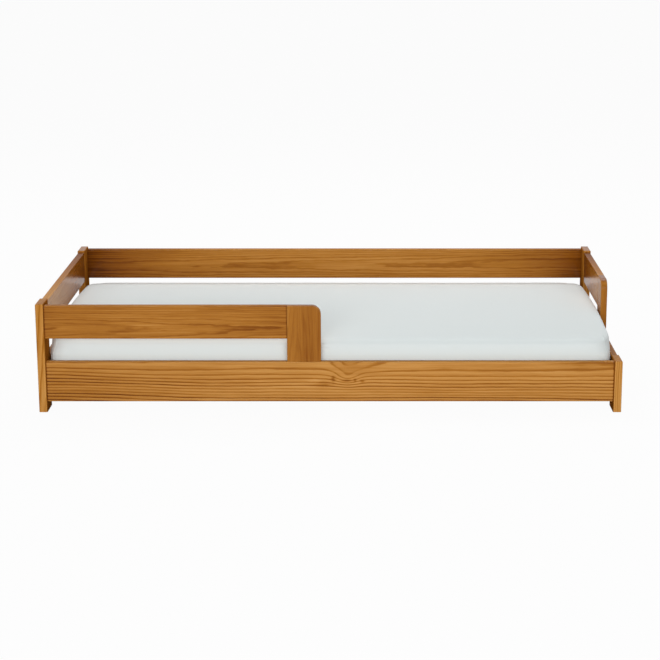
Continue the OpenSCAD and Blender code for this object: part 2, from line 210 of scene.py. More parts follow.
def grow(name, mesh, net, sharp, **values):
    """An object made by a Geometry Nodes tree from a mesh and the values of its inputs."""
    thing = linked(name, mesh)
    modifier = thing.modifiers.new("grow", "NODES")
    modifier.node_group = net.tree
    for socket, value in values.items():
        modifier[net.tree.interface.items_tree[socket].identifier] = value
    settle(thing, sharp)
    return thing


# Pine

AMBER_STAIN = [(0.00, (0.74, 0.40, 0.13)), (0.25, (0.615, 0.288, 0.068)), (0.50, (0.44, 0.172, 0.023)),
               (0.75, (0.27, 0.083, 0.007)), (1.00, (0.12, 0.03, 0.003))]
BARE_PINE = [(0.00, (0.86, 0.73, 0.52)), (0.30, (0.79, 0.63, 0.41)), (0.50, (0.71, 0.52, 0.30)),
             (0.70, (0.60, 0.40, 0.20)), (0.85, (0.42, 0.23, 0.09)), (1.00, (0.12, 0.055, 0.02))]
# Shades of the wood through one year, and about their mean
YEAR_SHADES = [(0.00, 0.12), (0.10, 0.00), (0.45, 0.08), (0.66, 0.30),
               (0.80, 0.95), (0.88, 1.00), (0.94, 0.80), (1.00, 0.12)]
MEAN_SHADE = 0.30
# How far the year rings ripple, on a long run and a short one
RIPPLE, FINE_RIPPLE = 0.0028, 0.0010
# Shares of patches, finest fibres and pores in the depth of the colour
PATCHES, HAIRS, PORES = 0.14, 0.16, 0.10
# Width of the painted shade line in a joint's corner
JOINT_SHADE = 0.0018
# Reach of the posts' inner faces from the bed's middle, and the width over which their painted shade and lack
# of varnish fade
INNER_FACE, INNER_FADE = 0.7552, 0.0025
# How squarely a face looks along an axis when it starts to count as facing it, and when it does
FACING = 0.6, 0.95
# How much less varnish there is on the narrow faces
NARROW_DULL = 0.55


@dataclass
class Board:
    """How one board was cut from its tree, and how it is finished. Depths of colour run from 0 to 1."""

    node: str
    # The bed's axes along its length, width and thickness
    axes: str
    # Where the middle of the tree lies, from the board's own, across its width and thickness
    pith: tuple
    # Width of one year's growth
    ring: float
    seed: int
    # How far the tree's middle wanders off over a metre, and how much its line sways
    lean: tuple = (0, 0)
    waver: float = 0.004
    # The mean depth, and how it changes along the board; ends is partly a darker tone and partly painted
    # shade near the end boards
    tone: float = 0.50
    slope: float = 0.0
    bow: float = 0.0
    ends: float = 0.0
    # Shares of the year rings, the fibres and broad patches in the depth
    late: float = 0.25
    streak: float = 0.30
    cloud: float = 0.10
    # Share of the face that the varnish covers, its index of refraction and its roughness
    gloss: float = 0.90
    shine: float = 1.20
    haze: float = 0.12
    # Height up to which the varnish has worn dull
    scuffed: float = 0.0
    # Painted shade in the corners at the board's ends, where they meet the posts
    joints: float = 0.0
    # Painted shade on the face that looks along the bed at its middle, which isn't varnished
    inner: float = 0.0
    # Humps of the rings round a knot, and dark or pale spots, each as a place along and across the
    # board, a reach along and across it, and a size
    knots: tuple = ()
    marks: tuple = ()
    # A spot where the rings hardly show, as a place and a reach
    plain: tuple = ()


def pine_depth(net, board):
    """How deep the colour is, from 0 to 1, and the height of the figure."""
    low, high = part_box(board.node)
    centre = (low + high) / 2
    order = ["xyz".index(axis) for axis in board.axes]
    half_length = (high - low)[order[0]] / 2
    spots = net.place()
    u, v, w = [spots[i] - centre[i] for i in order]
    seed = board.seed * 5.37

    def figure(along, across, shift, detail=1.0, rough=0.5):
        """Noise drawn out along the fibres, in features per metre, about 0."""
        spot = net.vector(u * along + (seed + shift), v * across + shift * 3.1, w * across - seed)
        return net.noise(spot, detail, rough) - 0.5

    sway = figure(1.7, 8.0, 0.0) * (4 * board.waver)
    ripple = figure(8.0, 55.0, 4.0, 2.0) * RIPPLE + figure(30.0, 200.0, 5.0) * FINE_RIPPLE
    dv = v - board.pith[0] - u * board.lean[0] + sway
    dw = w - board.pith[1] - u * board.lean[1]
    radius = (dv * dv + dw * dw).root() + ripple

    def near(place_u, place_v, reach_u, reach_v, ragged=0.0):
        """1 at a place on the board's face, less with the distance from it."""
        along, across = (u - place_u) * (1 / reach_u), (v - place_v) * (1 / reach_v)
        return (along * along + across * across + ragged).most(0.0).hill()

    for *spot, swell in board.knots:
        radius = radius - near(*spot) * swell
    year = radius * (1 / board.ring) + figure(0.9, 14.0, 7.0) * 0.9
    whole = year.floor()
    strength = net.add("ShaderNodeTexWhiteNoise", {"W": whole + seed}, noise_dimensions="1D")
    late = net.colours(year.fraction(), [(place, (shade,) * 3) for place, shade in YEAR_SHADES])
    late = late * (strength * 0.7 + 0.5)
    if board.plain:
        late = late + (MEAN_SHADE - late) * near(*board.plain)

    cloud = figure(1.6, 9.0, 11.0, 2.0)
    patch = figure(7.0, 26.0, 13.0, 2.0)
    band = figure(3.0, 150.0, 15.0, 2.0)
    fibre = figure(9.0, 420.0, 17.0, 3.0, 0.6)
    hair = figure(22.0, 1500.0, 19.0, 2.0, 0.6)
    pores = figure(46.0, 1100.0, 23.0).rise(0.17, 0.30)

    run = u * (1 / half_length)
    square = run * run
    depth = (late - MEAN_SHADE) * board.late + (band * 1.1 + fibre) * board.streak + cloud * (4 * board.cloud)
    depth = depth + patch * PATCHES + hair * HAIRS + pores * PORES
    # ends darkens the board towards both ends: partly its tone, partly painted shade cast by the end boards
    depth = depth + run * board.slope + square * board.bow + square * square * board.ends + board.tone
    for *spot, size in board.marks:
        depth = depth + near(*spot, ragged=figure(60.0, 220.0, 9.0) * 1.6) * size
    # Painted shade in the joint corners at both ends of the board
    if board.joints:
        corner = (u.size() - half_length) * (1 / JOINT_SHADE)
        depth = depth + (corner * corner).hill() * board.joints
    height = late * 0.5 + fibre * 0.9 + hair * 0.5 - pores * 0.6
    return depth, height


def sawn_and_worn(net, board, wear, soak):
    """The board's depth, paler by wear along its rounded edges and darker by soak on its sawn ends,
    its height, and how squarely each face looks along the bed's axes, from 0 to 1."""
    depth, height = pine_depth(net, board)
    parts = [part.size() for part in net.split(net.add("ShaderNodeNewGeometry", out="Normal"))]
    worn = (1 - parts[0].most(parts[1]).most(parts[2])).rise(0.04, 0.26)
    sawn = parts["xyz".index(board.axes[0])].rise(*FACING)
    return depth - worn * wear + sawn * soak, height, parts


def varnished_pine(board):
    net = new_material("varnished_" + board.node)
    depth, height, parts = sawn_and_worn(net, board, wear=0.10, soak=0.20)
    narrow = parts["xyz".index(board.axes[1])].rise(*FACING)
    varnish = (1 - narrow * NARROW_DULL) * board.gloss
    x, _, z = net.place()
    if board.scuffed:
        varnish = varnish * (z * (1 / board.scuffed)).rise(0.2, 1.0)
    # Painted shade on the posts' faces towards the bed's middle, which also lose their varnish
    if board.inner:
        inner = 1 - x.size().rise(INNER_FACE, INNER_FACE + INNER_FADE)
        depth, varnish = depth + inner * board.inner, varnish * (1 - inner)
    return finish_with(net, Base_Color=net.colours(depth, AMBER_STAIN), Roughness=height * 0.10 + 0.46,
                       IOR=1.5, Specular_IOR_Level=0.0, Coat_Weight=varnish, Coat_Roughness=board.haze,
                       Coat_IOR=board.shine, Normal=net.bump(height, 0.00012, 0.6))


def bare_pine(board):
    net = new_material("bare_" + board.node)
    depth, height, _ = sawn_and_worn(net, board, wear=0.06, soak=0.12)
    return finish_with(net, Base_Color=net.colours(depth, BARE_PINE), Roughness=height * 0.12 + 0.62,
                       Specular_IOR_Level=0.35, Normal=net.bump(height, 0.0003, 0.8))


def dress(node, material):
    """Gives a CAD node its material."""
    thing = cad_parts[node]
    for slot in thing.material_slots:
        slot.material = material


# What boards of one kind share
# The end rails' darker tones, here and in their boards below, are painted shade on their inner faces
END_RAIL = dict(lean=(0.01, 0.01), late=0.10, streak=0.12, cloud=0.05, shine=1.25, haze=0.22)
LOW_END_RAIL = dict(lean=(0.01, -0.01), tone=0.62, late=0.15)
# inner is painted shade on the posts' faces towards the bed's middle
BACK_POST = dict(lean=(0.02, 0.02), tone=0.48, scuffed=0.05, inner=0.15)
FRONT_POST = dict(lean=(0.02, 0.02), tone=0.32, late=0.34, streak=0.40, gloss=0.45, scuffed=0.05, inner=0.45)

VARNISHED_BOARDS = [
    Board("front_low_rail", "xzy", (0.052, 0.031), 0.0075, 1, lean=(-0.012, 0.006), tone=0.42,
          slope=-0.075, bow=0.085, late=0.54, streak=0.30, waver=0.006,
          joints=0.40, knots=[(0.105, 0.082, 0.075, 0.055, 0.0075), (0.048, 0.070, 0.040, 0.050, 0.012),
                              (0.046, 0.010, 0.030, 0.019, 0.011)],
          plain=(0.062, 0.040, 0.048, 0.019),
          marks=[(0.045, 0.003, 0.013, 0.0030, 0.42), (0.008, 0.007, 0.005, 0.0080, 0.34),
                 (0.066, 0.004, 0.004, 0.0045, 0.34), (0.086, 0.002, 0.006, 0.0035, 0.28),
                 (-0.018, -0.008, 0.020, 0.0090, 0.20), (-0.040, 0.004, 0.018, 0.0060, -0.14)]),
    Board("guard_rail", "xzy", (-0.018, 0.080), 0.0024, 2, lean=(0.010, 0.008), tone=0.52,
          slope=-0.01, bow=0.12, late=0.22, streak=0.36, cloud=0.07, joints=0.25),
    # The back rail's darker ends are partly its tone and partly painted shade from the end boards
    Board("back_upper_rail", "xzy", (-0.004, 0.070), 0.0026, 3, lean=(0.004, -0.004), tone=0.48,
          slope=-0.06, ends=0.44, late=0.18, streak=0.27, cloud=0.07),
    Board("back_low_rail", "xzy", (-0.030, 0.050), 0.0040, 4, lean=(0.010, 0.008), tone=0.52),
    # The end rails' tones are set darker as painted shade on their inner faces
    Board("left_end_upper_rail", "yzx", (0.010, -0.080), 0.0026, 5, tone=0.60, slope=0.30, gloss=0.90,
          **END_RAIL),
    Board("left_end_low_rail", "yzx", (-0.030, 0.060), 0.0036, 6, **LOW_END_RAIL),
    Board("right_end_upper_rail", "yzx", (0.020, 0.075), 0.0026, 7, tone=0.67, slope=0.26, gloss=0.95,
          **END_RAIL),
    Board("right_end_low_rail", "yzx", (0.030, 0.060), 0.0036, 8, **LOW_END_RAIL),
    Board("right_end_stile", "zyx", (-0.030, 0.060), 0.0028, 9, lean=(0.01, 0.02), tone=0.58,
          late=0.10, streak=0.16, cloud=0.05, gloss=0.95, shine=1.25, haze=0.22),
    Board("guard_stile", "zxy", (-0.012, 0.080), 0.0026, 10, lean=(0.02, 0.02), tone=0.53, late=0.07,
          streak=0.24, cloud=0.16),
    Board("post_front_left", "zyx", (0.060, 0.040), 0.0052, 11, **FRONT_POST),
    Board("post_back_left", "zyx", (-0.060, 0.040), 0.0028, 12, **BACK_POST),
    Board("post_back_right", "zyx", (0.050, -0.040), 0.0028, 13, **BACK_POST),
    Board("post_front_right", "zyx", (-0.050, 0.040), 0.0052, 14, **FRONT_POST),
]


SLATS = [f"slat_{i}" for i in range(1, 14)]
LEDGERS = ["front_ledger", "back_ledger"]
# Seeds of the first ledger and slat
LEDGER_SEED, SLAT_SEED = 21, 31


def dress_boards():
    for board in VARNISHED_BOARDS:
        dress(board.node, varnished_pine(board))
    for seed, node in enumerate(LEDGERS, LEDGER_SEED):
        dress(node, bare_pine(Board(node, "xzy", (0.02, 0.03), 0.004, seed, tone=0.38, late=0.3)))
    for seed, node in enumerate(SLATS, SLAT_SEED):
        # Every slat comes from another part of its tree
        pith = (0.004 * ((seed - SLAT_SEED + 1) % 5) - 0.01, -0.05)
        dress(node, bare_pine(Board(node, "yxz", pith, 0.004, seed, lean=(0.03, 0.04), tone=0.38, late=0.3)))


# Metal and dowels

def zinc_plate():
    net = new_material("zinc_plate")
    spangle = net.speckle((900, 900, 900), 3.0)
    return finish_with(net, Base_Color=(0.62, 0.63, 0.64), Metallic=1.0, Roughness=spangle * 0.22 + 0.22,
                       Normal=net.bump(spangle, 0.00004, 0.5))


def bare_beech():
    net = new_material("bare_beech")
    rays = net.speckle((260, 60, 260), 2.0)
    colour = net.mix(rays, (0.66, 0.46, 0.27), (0.78, 0.60, 0.40))
    return finish_with(net, Base_Color=colour, Roughness=0.6, Normal=net.bump(rays, 0.0001, 0.5))


# Screws and bolts, each with its head at the origin and its point down

# Sides of a round shape, and rings to each turn of a thread
STEPS, THREAD_RINGS = 16, 4
SCREW_R, SCREW_CORE, SCREW_PITCH = 0.0020, 0.0014, 0.0018
# Length of the tapers at neck and point, and width of the head's chamfer
SCREW_NECK, SCREW_TIP, SCREW_RIM = 0.001, 0.003, 0.0002
SCREW_HEAD_R, SCREW_HEAD_H, SCREW_SUNK = 0.0040, 0.0020, 0.0003
# Radii where the point starts and ends, as shares of the core
POINT_START, POINT_END = 0.9, 0.12
SLAT_SCREW_L, LEDGER_SCREW_L = 0.028, 0.033
# Reach, width and depth of the cross recess, and the size of its floor as a share of its mouth
CROSS_REACH, CROSS_W, CROSS_DEPTH, CROSS_FLOOR = 0.0021, 0.0010, 0.0015, 0.45
BOLT_R, BOLT_CORE, BOLT_PITCH, BOLT_L = 0.0030, 0.0025, 0.001, 0.055
BOLT_HEAD_R, BOLT_HEAD_H, BOLT_CHAMFER = 0.0060, 0.004, 0.0006
# How far down the thread starts, and length and depth of the end's chamfer
BOLT_PLAIN, BOLT_TIP, BOLT_TIP_IN = 0.030, 0.001, 0.0005
# Width of the hexagon socket across its flats, its depth, and its floor's share
HEX_KEY, HEX_DEPTH, HEX_FLOOR = 0.004, 0.0024, 0.96
# Distance from a rail's edge to the bolt next to it
BOLT_EDGE = 0.025
# The ledger screws lie between these slats and the next ones
LEDGER_SCREW_GAPS = (1, 3, 5, 8, 10, 12)
# How far a fastener may be turned, either way, the sharpest edge shaded smooth, in degrees, and the
# seed of what is turned by chance
ANY_TURN, SMOOTH_METAL, TURN_SEED = pi, 40, 3


def ring(radius, height, ridge=0.0, phase=0.0):
    """Points on a circle. A thread's ridge stands out of it over two thirds of a turn."""
    points = []
    for k in range(STEPS):
        reach = radius + ridge * max(0, 1 - 3 * abs((phase + k / STEPS) % 1 - 0.5))
        turn = 2 * pi * k / STEPS
        points.append((reach * cos(turn), reach * sin(turn), height))
    return points


def thread_rings(crest, core, pitch, start, end):
    return [ring(core, start - k * pitch / THREAD_RINGS, crest - core, k / THREAD_RINGS)
            for k in range(1, int((start - end) / pitch * THREAD_RINGS))]


def closed_pairs(row):
    """Each item of a closed row with the next one."""
    return zip(row, row[1:] + row[:1])


def walls(over, under):
    """Quads between two closed rows of points."""
    return [(a, c, d, b) for (a, b), (c, d) in zip(closed_pairs(over), closed_pairs(under))]


def driven(name, rings, recess, depth, shrink):
    """A closed solid through rings of points, head first. recess outlines the driver's hole, and
    shrink is the size of its floor beside its mouth."""
    solid = bmesh.new()
    loops = [[solid.verts.new(point) for point in points] for points in rings]
    for over, under in zip(loops, loops[1:]):
        for quad in walls(over, under):
            solid.faces.new(quad)
    solid.faces.new(loops[-1])
    top = rings[0][0][2]
    mouth = [solid.verts.new((x, y, top)) for x, y in recess]
    bottom = [solid.verts.new((x * shrink, y * shrink, top - depth)) for x, y in recess]
    edges = [solid.edges.get(pair) for pair in closed_pairs(loops[0])]
    edges += [solid.edges.new(pair) for pair in closed_pairs(mouth)]
    bmesh.ops.triangle_fill(solid, edges=edges, use_beauty=True)
    for (a, b), (c, d) in zip(closed_pairs(mouth), closed_pairs(bottom)):
        solid.faces.new((a, b, d, c))
    solid.faces.new(bottom)
    bmesh.ops.recalc_face_normals(solid, faces=solid.faces)
    return linked(name, written(solid, bpy.data.meshes.new(name)))


def wood_screw(length):
    reach, half = CROSS_REACH, CROSS_W / 2
    arm = [(reach, -half), (reach, half), (half, half)]
    cross = [(x * c - y * s, x * s + y * c) for c, s in ((1, 0), (0, 1), (-1, 0), (0, -1)) for x, y in arm]
    neck, point = -SCREW_SUNK - SCREW_HEAD_H, SCREW_TIP - length
    rings = [ring(SCREW_HEAD_R - SCREW_RIM, -SCREW_SUNK), ring(SCREW_HEAD_R, -SCREW_SUNK - SCREW_RIM),
             ring(SCREW_R, neck), ring(SCREW_CORE, neck - SCREW_NECK)]
    rings += thread_rings(SCREW_R, SCREW_CORE, SCREW_PITCH, neck - SCREW_NECK, point)
    rings += [ring(SCREW_CORE * POINT_START, point), ring(SCREW_CORE * POINT_END, -length)]
    return driven("screw", rings, cross, CROSS_DEPTH, CROSS_FLOOR)


def hex_bolt():
    corner = HEX_KEY / 2 / cos(pi / 6)
    socket = [(corner * cos(pi * k / 3), corner * sin(pi * k / 3)) for k in range(6)]
    rings = [ring(BOLT_HEAD_R - BOLT_CHAMFER, 0), ring(BOLT_HEAD_R, -BOLT_CHAMFER),
             ring(BOLT_HEAD_R, -BOLT_HEAD_H), ring(BOLT_R, -BOLT_HEAD_H), ring(BOLT_R, -BOLT_PLAIN)]
    rings += thread_rings(BOLT_R, BOLT_CORE, BOLT_PITCH, -BOLT_PLAIN, BOLT_TIP - BOLT_L)
    rings += [ring(BOLT_CORE, BOLT_TIP - BOLT_L), ring(BOLT_CORE - BOLT_TIP_IN, -BOLT_L)]
    return driven("bolt", rings, socket, HEX_DEPTH, HEX_FLOOR)


def set_in_place_tree():
    """Sets a shape at each point of a mesh, turned as the point says and then by chance, up to Spin
    either way about its own Z."""
    net, (sites, shape, finish, spin) = node_group("set_in_place", {
        "Sites": "Geometry", "Shape": "Object", "Finish": "Material", "Spin": "Float"})
    turn = net.add("GeometryNodeInputNamedAttribute", {"Name": "turn"}, data_type="FLOAT_VECTOR")
    chance = net.add("FunctionNodeRandomValue", {2: -spin, 3: spin, "Seed": TURN_SEED}, out=1)
    upright = net.add("FunctionNodeEulerToRotation", {0: turn})
    spun = net.add("FunctionNodeEulerToRotation", {0: net.vector(0.0, 0.0, chance)})
    stance = net.add("FunctionNodeRotateRotation", {0: upright, 1: spun}, rotation_space="LOCAL")
    piece = net.add("GeometryNodeObjectInfo", {"Object": shape}, out="Geometry")
    placed = net.add("GeometryNodeInstanceOnPoints", {"Points": sites, "Instance": piece, "Rotation": stance})
    solid = net.add("GeometryNodeRealizeInstances", {0: placed})
    coated = net.add("GeometryNodeSetMaterial", {"Geometry": solid, "Material": finish})
    net.add("NodeGroupOutput", {0: coated})
    return net


def slat_screw_sites():
    """In each slat's upper face, over both ledgers."""
    sites = []
    for slat in SLATS:
        low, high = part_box(slat)
        for ledger in LEDGERS:
            near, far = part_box(ledger)
            sites.append((((low.x + high.x) / 2, (near.y + far.y) / 2, high.z), (0, 0, 0)))
    return sites


def ledger_screw_sites():
    """In the ledgers' inner faces, halfway between two slats."""
    sites = []
    for ledger, side in zip(LEDGERS, (-1, 1)):
        low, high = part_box(ledger)
        inner = high.y if side < 0 else low.y
        for gap in LEDGER_SCREW_GAPS:
            x = sum(corner.x for slat in SLATS[gap - 1:gap + 1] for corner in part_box(slat)) / 4
            sites.append(((x, inner, (low.z + high.z) / 2), (side * pi / 2, 0, 0)))
    return sites


def bolt_sites():
    """Two at each bolted end of a long rail, as deep in the post as the CAD's bolts."""
    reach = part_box("rail_bolts")[1].x
    sites = []
    for rail, ends in (("front_low_rail", (-1, 1)), ("guard_rail", (-1,)),
                       ("back_low_rail", (-1, 1)), ("back_upper_rail", (-1, 1))):
        near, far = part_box(rail)
        for z in (near.z + BOLT_EDGE, far.z - BOLT_EDGE):
            sites += [((reach * end, (near.y + far.y) / 2, z), (0, end * pi / 2, 0)) for end in ends]
    return sites


PLACING = set_in_place_tree()


def set_in_place(name, shape, sites, finish, spin, sharp):
    """One object with the shape at every site. A site is a place and an Euler turn."""
    points = mesh_of(name, [place for place, turn in sites])
    turns = points.attributes.new("turn", "FLOAT_VECTOR", "POINT")
    for item, (place, turn) in zip(turns.data, sites):
        item.vector = turn
    thing = grow(name, points, PLACING, sharp, Shape=shape, Finish=finish, Spin=spin)
    bpy.data.objects.remove(shape)
    return thing


def set_fasteners():
    zinc = zinc_plate()
    for node, name, shape, sites in (
            ("slat_screws", "slat_wood_screws", wood_screw(SLAT_SCREW_L), slat_screw_sites()),
            ("ledger_screws", "ledger_wood_screws", wood_screw(LEDGER_SCREW_L), ledger_screw_sites()),
            ("rail_bolts", "hex_socket_bolts", hex_bolt(), bolt_sites())):
        thing = set_in_place(name, shape, sites, zinc, ANY_TURN, SMOOTH_METAL)
        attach(thing, "frame")
        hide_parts(node)
    dress("barrel_nuts", zinc)


# Mattress and fitted sheet

# Half the mattress's length and width, and how far its ends swell out
HALF_L, HALF_W, SWELL = 0.7535, 0.3500, 0.0015
UNDERSIDE = round(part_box("mattress")[0].z, 4)
EDGE_H, CROWN = 0.111, 0.0135
# Radii of the corners at the top and further down, seen from above
CORNER, LOW_CORNER = 0.080, 0.036
# Reach of the rolled edges, in from the long sides and from the ends, and their height
ROLL, END_ROLL, ROLL_H = 0.026, 0.010, 0.014
SIDE_H = EDGE_H - 2 * ROLL_H
# Size of the grid's cells, and their rows over a rolled edge and down a side
CELL, ROLL_STEPS, SIDE_RINGS = 0.015, 5, 7
# How much smaller the cover is before it is filled, and how far filling may push a point
SLACK, GIVE = 0.0018, 0.004
# Frames that filling takes, and how firmly the cover's underside, sides and upper edges are held,
# and how much less its middle
FILLING_TIME, HOLD_UNDER, HOLD_SIDE, HOLD_EDGE, HOLD_LESS = 20, 1.0, 0.25, 0.30, 0.12
# How far out ends and long sides may go, clear of the boards
END_LIMIT, SIDE_LIMIT = 0.7552, 0.3522
# Reach of the sheet under the mattress, how far past it a face may end, and the radius of its
# inner corners
BORDER, PAST_BORDER, DRAWN_CORNER = 0.090, 0.002, 0.160
# Thickness of the sheet, and how far the foam lies inside the cover's form and over its underside
CLOTH_T, FOAM_INSET, FOAM_LIFT = 0.0005, 0.0013, 0.0020
# The sheet has wrinkles above this height over the underside, and pleats below it
WRINKLED_FROM = 0.03
# Height and reach of the folds from the corners, and height of the waves between
FOLD_H, FOLD_REACH, CALM_H = 0.0007, 0.085, 0.00025
GATHER_H, GATHER_PITCH = 0.0009, 0.024
# Elastic hem round the sheet's opening: its middle lies HEM_IN inside the opening's edge
HEM_W, HEM_T, HEM_Z, HEM_IN, PLEAT, PLEAT_H = 0.012, 0.0012, 0.0009, 0.005, 0.009, 0.0003
SEAM_W, SEAM_T, SEAM_STEP = 0.0018, 0.0010, 0.002
# How far seams and hem may reach below the underside, and the times that their lines are eased
SEAM_SUNK, SEAM_EASINGS, HEM_EASINGS = 0.0001, 6, 4
STITCH_L, STITCH_R, STITCH_ASIDE = 0.0022, 0.00022, 0.0017
# Pitch of the stitches in seams and hem, and how far chance may turn one, either way
STITCH_PITCH, HEM_STITCH_PITCH, STITCH_TURN = 0.003, 0.004, 0.10
# Step from one corner of a swept band's outline to the next, on its own coordinates
AROUND = 0.001
# Pitch of the cotton's and the ticking's threads, and width of the ticking's diamonds
COTTON_PITCH, TICKING_PITCH, DIAMOND = 0.0005, 0.0012, 0.03


def ramp(value, low, high):
    share = min(1, max(0, (value - low) / (high - low)))
    return share * share * (3 - 2 * share)


def grid_lines(half, reach):
    """The grid's lines across one direction, closer together over the rolled edges."""
    roll = [half - reach * (1 - cos(radians(90 * k / ROLL_STEPS))) for k in range(ROLL_STEPS)]
    flat = half - reach
    count = round(2 * flat / CELL)
    middle = [-flat + 2 * flat * k / count for k in range(count + 1)]
    return [-value for value in roll] + middle + roll[::-1]


def inset_of(a, b):
    return min(HALF_L - abs(a), HALF_W - abs(b))


def rounded(x, y, half_l, half_w, corner):
    """The point x, y of a rectangle, moved so that the rectangle's corners become round."""
    s, t = (abs(x) - half_l + corner) / corner, (abs(y) - half_w + corner) / corner
    if s <= 0 or t <= 0:
        return x, y
    reach, turn = (s, pi / 4 * t / s) if s >= t else (t, pi / 2 - pi / 4 * s / t)
    return (copysign(half_l - corner + corner * reach * cos(turn), x),
            copysign(half_w - corner + corner * reach * sin(turn), y))


def in_plan(a, b, tight, low, drawn=0.0):
    """Where point a, b of the cloth lies, seen from above. tight draws the form in. low, from 0 to
    1, squares off the corners below the top, and drawn rounds the lines under it as elastic does."""
    half_l, half_w = HALF_L - tight, HALF_W - tight
    flat_x, flat_y = a * half_l / HALF_L, b * half_w / HALF_W
    x, y = rounded(flat_x, flat_y, half_l, half_w, CORNER)
    for share, corner in ((low, LOW_CORNER), (drawn, DRAWN_CORNER)):
        new_x, new_y = rounded(flat_x, flat_y, half_l, half_w, corner)
        x, y = x + (new_x - x) * share, y + (new_y - y) * share
    x += copysign(SWELL * (abs(x) / half_l) ** 4 * (1 - (y / half_w) ** 2), x)
    return x, y


def mattress_form(tight):
    """A closed form in quads, as points and faces. cloth holds each point's place a, b on the cloth,
    and how far it is down the side and in under the mattress. corners holds the rows of points where
    the sheet's seams run, from the top down and in under it."""
    rows, columns = grid_lines(HALF_L, END_ROLL), grid_lines(HALF_W, ROLL)
    points, cloth, faces = [], [], []

    def over_roll(a, b):
        return min(1, max(0, 1 - (HALF_L - abs(a)) / END_ROLL, 1 - (HALF_W - abs(b)) / ROLL))

    def drop(a, b):
        return ROLL_H * (1 - sqrt(1 - over_roll(a, b) ** 2))

    def squared(down_share, rolled):
        """How far the corners are squared off, so far down the side and over the roll."""
        return 0.35 * rolled + 0.65 * ramp(down_share, 0, 0.35)

    def put(x, y, z, a, b, down):
        points.append((x, y, z))
        cloth.append((a, b, down))
        return len(points) - 1

    def upper(a, b):
        x, y = in_plan(a, b, tight, squared(0, over_roll(a, b)))
        crown = CROWN * (1 - min(1, abs(y) / HALF_W) ** 1.6)
        return put(x, y, UNDERSIDE + EDGE_H - tight + crown - drop(a, b), a, b, 0)

    def lower(a, b):
        x, y = in_plan(a, b, tight, 1, ramp(inset_of(a, b), 0.02, 0.08))
        return put(x, y, UNDERSIDE + drop(a, b), a, b, SIDE_H + inset_of(a, b))

    top = [[upper(a, b) for b in columns] for a in rows]
    bottom = [[lower(a, b) for b in columns] for a in rows]
    last_a, last_b = len(rows) - 1, len(columns) - 1
    loop = ([(i, 0) for i in range(last_a)] + [(last_a, j) for j in range(last_b)]
            + [(i, last_b) for i in range(last_a, 0, -1)] + [(0, j) for j in range(last_b, 0, -1)])
    bands = [[top[i][j] for i, j in loop]]
    for k in range(1, SIDE_RINGS):
        share = k / SIDE_RINGS
        band = []
        for i, j in loop:
            x, y = in_plan(rows[i], columns[j], tight, squared(share, 1))
            z = points[top[i][j]][2]
            z += (UNDERSIDE + ROLL_H - z) * share
            band.append(put(x, y, z, rows[i], columns[j], SIDE_H * share))
        bands.append(band)
    bands.append([bottom[i][j] for i, j in loop])

    for i in range(last_a):
        for j in range(last_b):
            faces.append((top[i][j], top[i + 1][j], top[i + 1][j + 1], top[i][j + 1]))
            faces.append((bottom[i][j], bottom[i][j + 1], bottom[i + 1][j + 1], bottom[i + 1][j]))
    for over, under in zip(bands, bands[1:]):
        faces += walls(over, under)

    corners = []
    for at_a, at_b in ((0, 0), (0, last_b), (last_a, 0), (last_a, last_b)):
        spots = [(abs(at_a - k), abs(at_b - k)) for k in range(last_b // 2)]
        place = loop.index((at_a, at_b))
        corners.append([top[i][j] for i, j in spots[ROLL_STEPS:0:-1]] + [band[place] for band in bands]
                       + [bottom[i][j] for i, j in spots[1:]])
    return points, cloth, faces, corners


def hold(a, b, down):
    """How firmly the cover is held here while it fills."""
    if down > SIDE_H + 0.02:
        return HOLD_UNDER
    if down > 0:
        return HOLD_SIDE
    return HOLD_EDGE - HOLD_LESS * ramp(inset_of(a, b), 0.03, 0.20)


def filled(points, cloth, faces):
    """The points after the cover has been blown up."""
    scene = bpy.context.scene
    mesh = mesh_of("cover", points, faces)
    cover = linked("cover", mesh)
    held = cover.vertex_groups.new(name="held")
    for index, place in enumerate(cloth):
        held.add([index], hold(*place), "REPLACE")
    filling = cover.modifiers.new("filling", "CLOTH")
    fabric = filling.settings
    fabric.quality, fabric.mass = 5, 0.25
    fabric.tension_stiffness = fabric.compression_stiffness = 12
    fabric.shear_stiffness, fabric.bending_stiffness = 6, 2
    fabric.vertex_group_mass, fabric.pin_stiffness = "held", 1
    fabric.use_pressure, fabric.uniform_pressure_force = True, 4
    fabric.effector_weights.gravity = 0
    filling.collision_settings.use_collision = False
    filling.point_cache.frame_start, filling.point_cache.frame_end = 1, FILLING_TIME
    for number in range(1, FILLING_TIME + 1):
        scene.frame_set(number)
    shape = cover.evaluated_get(bpy.context.evaluated_depsgraph_get()).to_mesh()
    result = []
    for before, vertex in zip(points, shape.vertices):
        step = vertex.co - Vector(before)
        step *= GIVE / max(GIVE, step.length)
        result.append(tuple(Vector(before) + step))
    scene.frame_set(1)
    bpy.data.objects.remove(cover)
    bpy.data.meshes.remove(mesh)
    return result


def inside_bed(points):
    """The points, kept clear of the boards and slats round the mattress."""
    return [(max(-END_LIMIT, min(END_LIMIT, x)), max(-SIDE_LIMIT, min(SIDE_LIMIT, y)),
             max(UNDERSIDE, z)) for x, y, z in points]


def unrolled(spots, panelled):
    """Where one face's corners lie on the flat cloth, in metres. A panelled cover has a piece of its
    own for the underside."""
    if all(down == 0 for a, b, down in spots) or (panelled and all(down >= SIDE_H for a, b, down in spots)):
        return [(a, b) for a, b, down in spots]
    middle_a, middle_b = (sum(abs(spot[i]) for spot in spots) / 4 for i in (0, 1))
    at_end = HALF_L - middle_a < HALF_W - middle_b
    return [(copysign(HALF_L + down, a), b) if at_end else (a, copysign(HALF_W + down, b))
            for a, b, down in spots]


def cloth_piece(name, points, cloth, faces, panelled=False):
    places = [place for face in faces for place in unrolled([cloth[i] for i in face], panelled)]
    return linked(name, mesh_of(name, points, faces, places))


